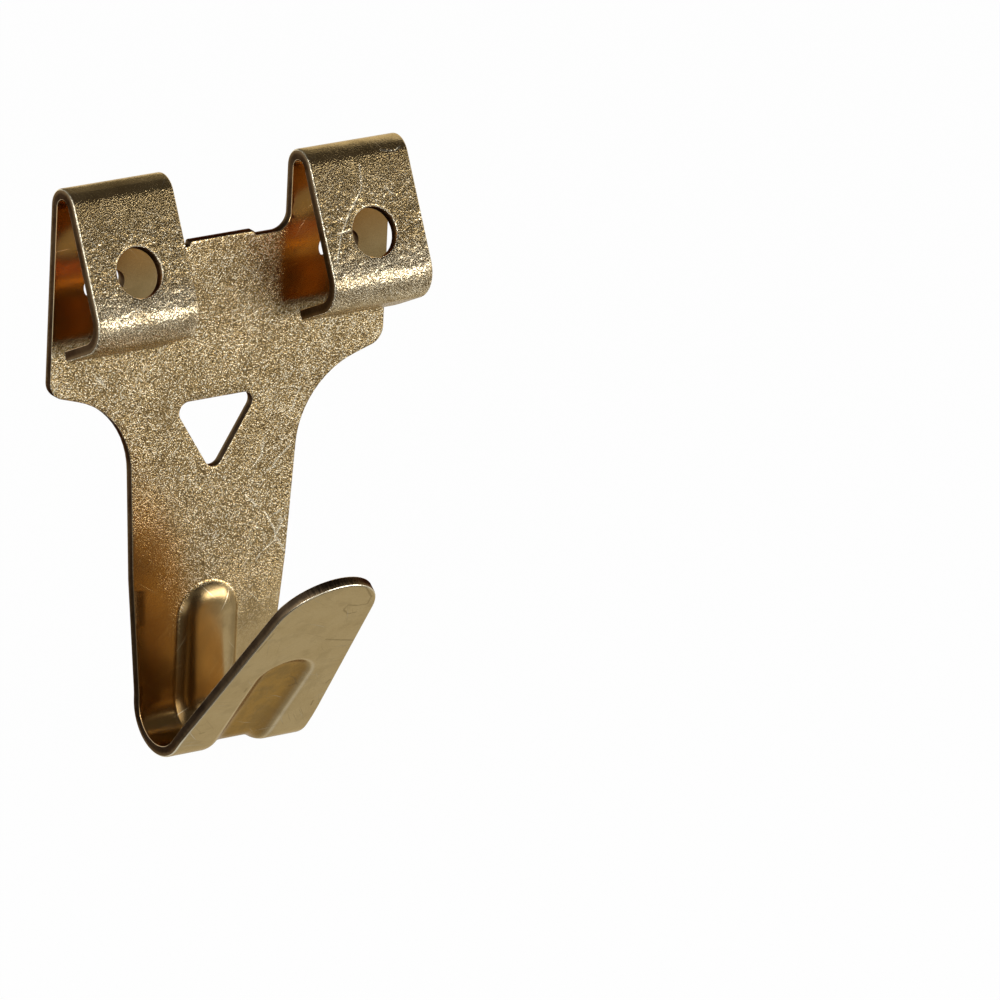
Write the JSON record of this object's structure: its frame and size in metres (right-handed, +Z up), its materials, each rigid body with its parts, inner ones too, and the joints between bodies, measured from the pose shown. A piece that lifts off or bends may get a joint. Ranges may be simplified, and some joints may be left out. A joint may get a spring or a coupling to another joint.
{
  "type": "picture hook",
  "caption": "Folded sheet-metal picture hook: a plate with nail-guiding ears above, a three-cornered window, and a tapered stem that bends up into a ribbed open hook.",
  "frame": {"origin": "on the wall face of the plate, on the centre line, level with the middle of the two nail slots", "axes": "+Y into the wall, square to the wall face; +Z up; the front of the hook looks along -Y"},
  "size_m": [0.0316, 0.02, 0.0484],
  "materials": {
    "plated_steel": "satin brass plating on steel sheet, fine speckle and light scratches"
  },
  "bodies": {
    "root": {"picture_hook": "plated_steel"}
  },
  "joints": []
}
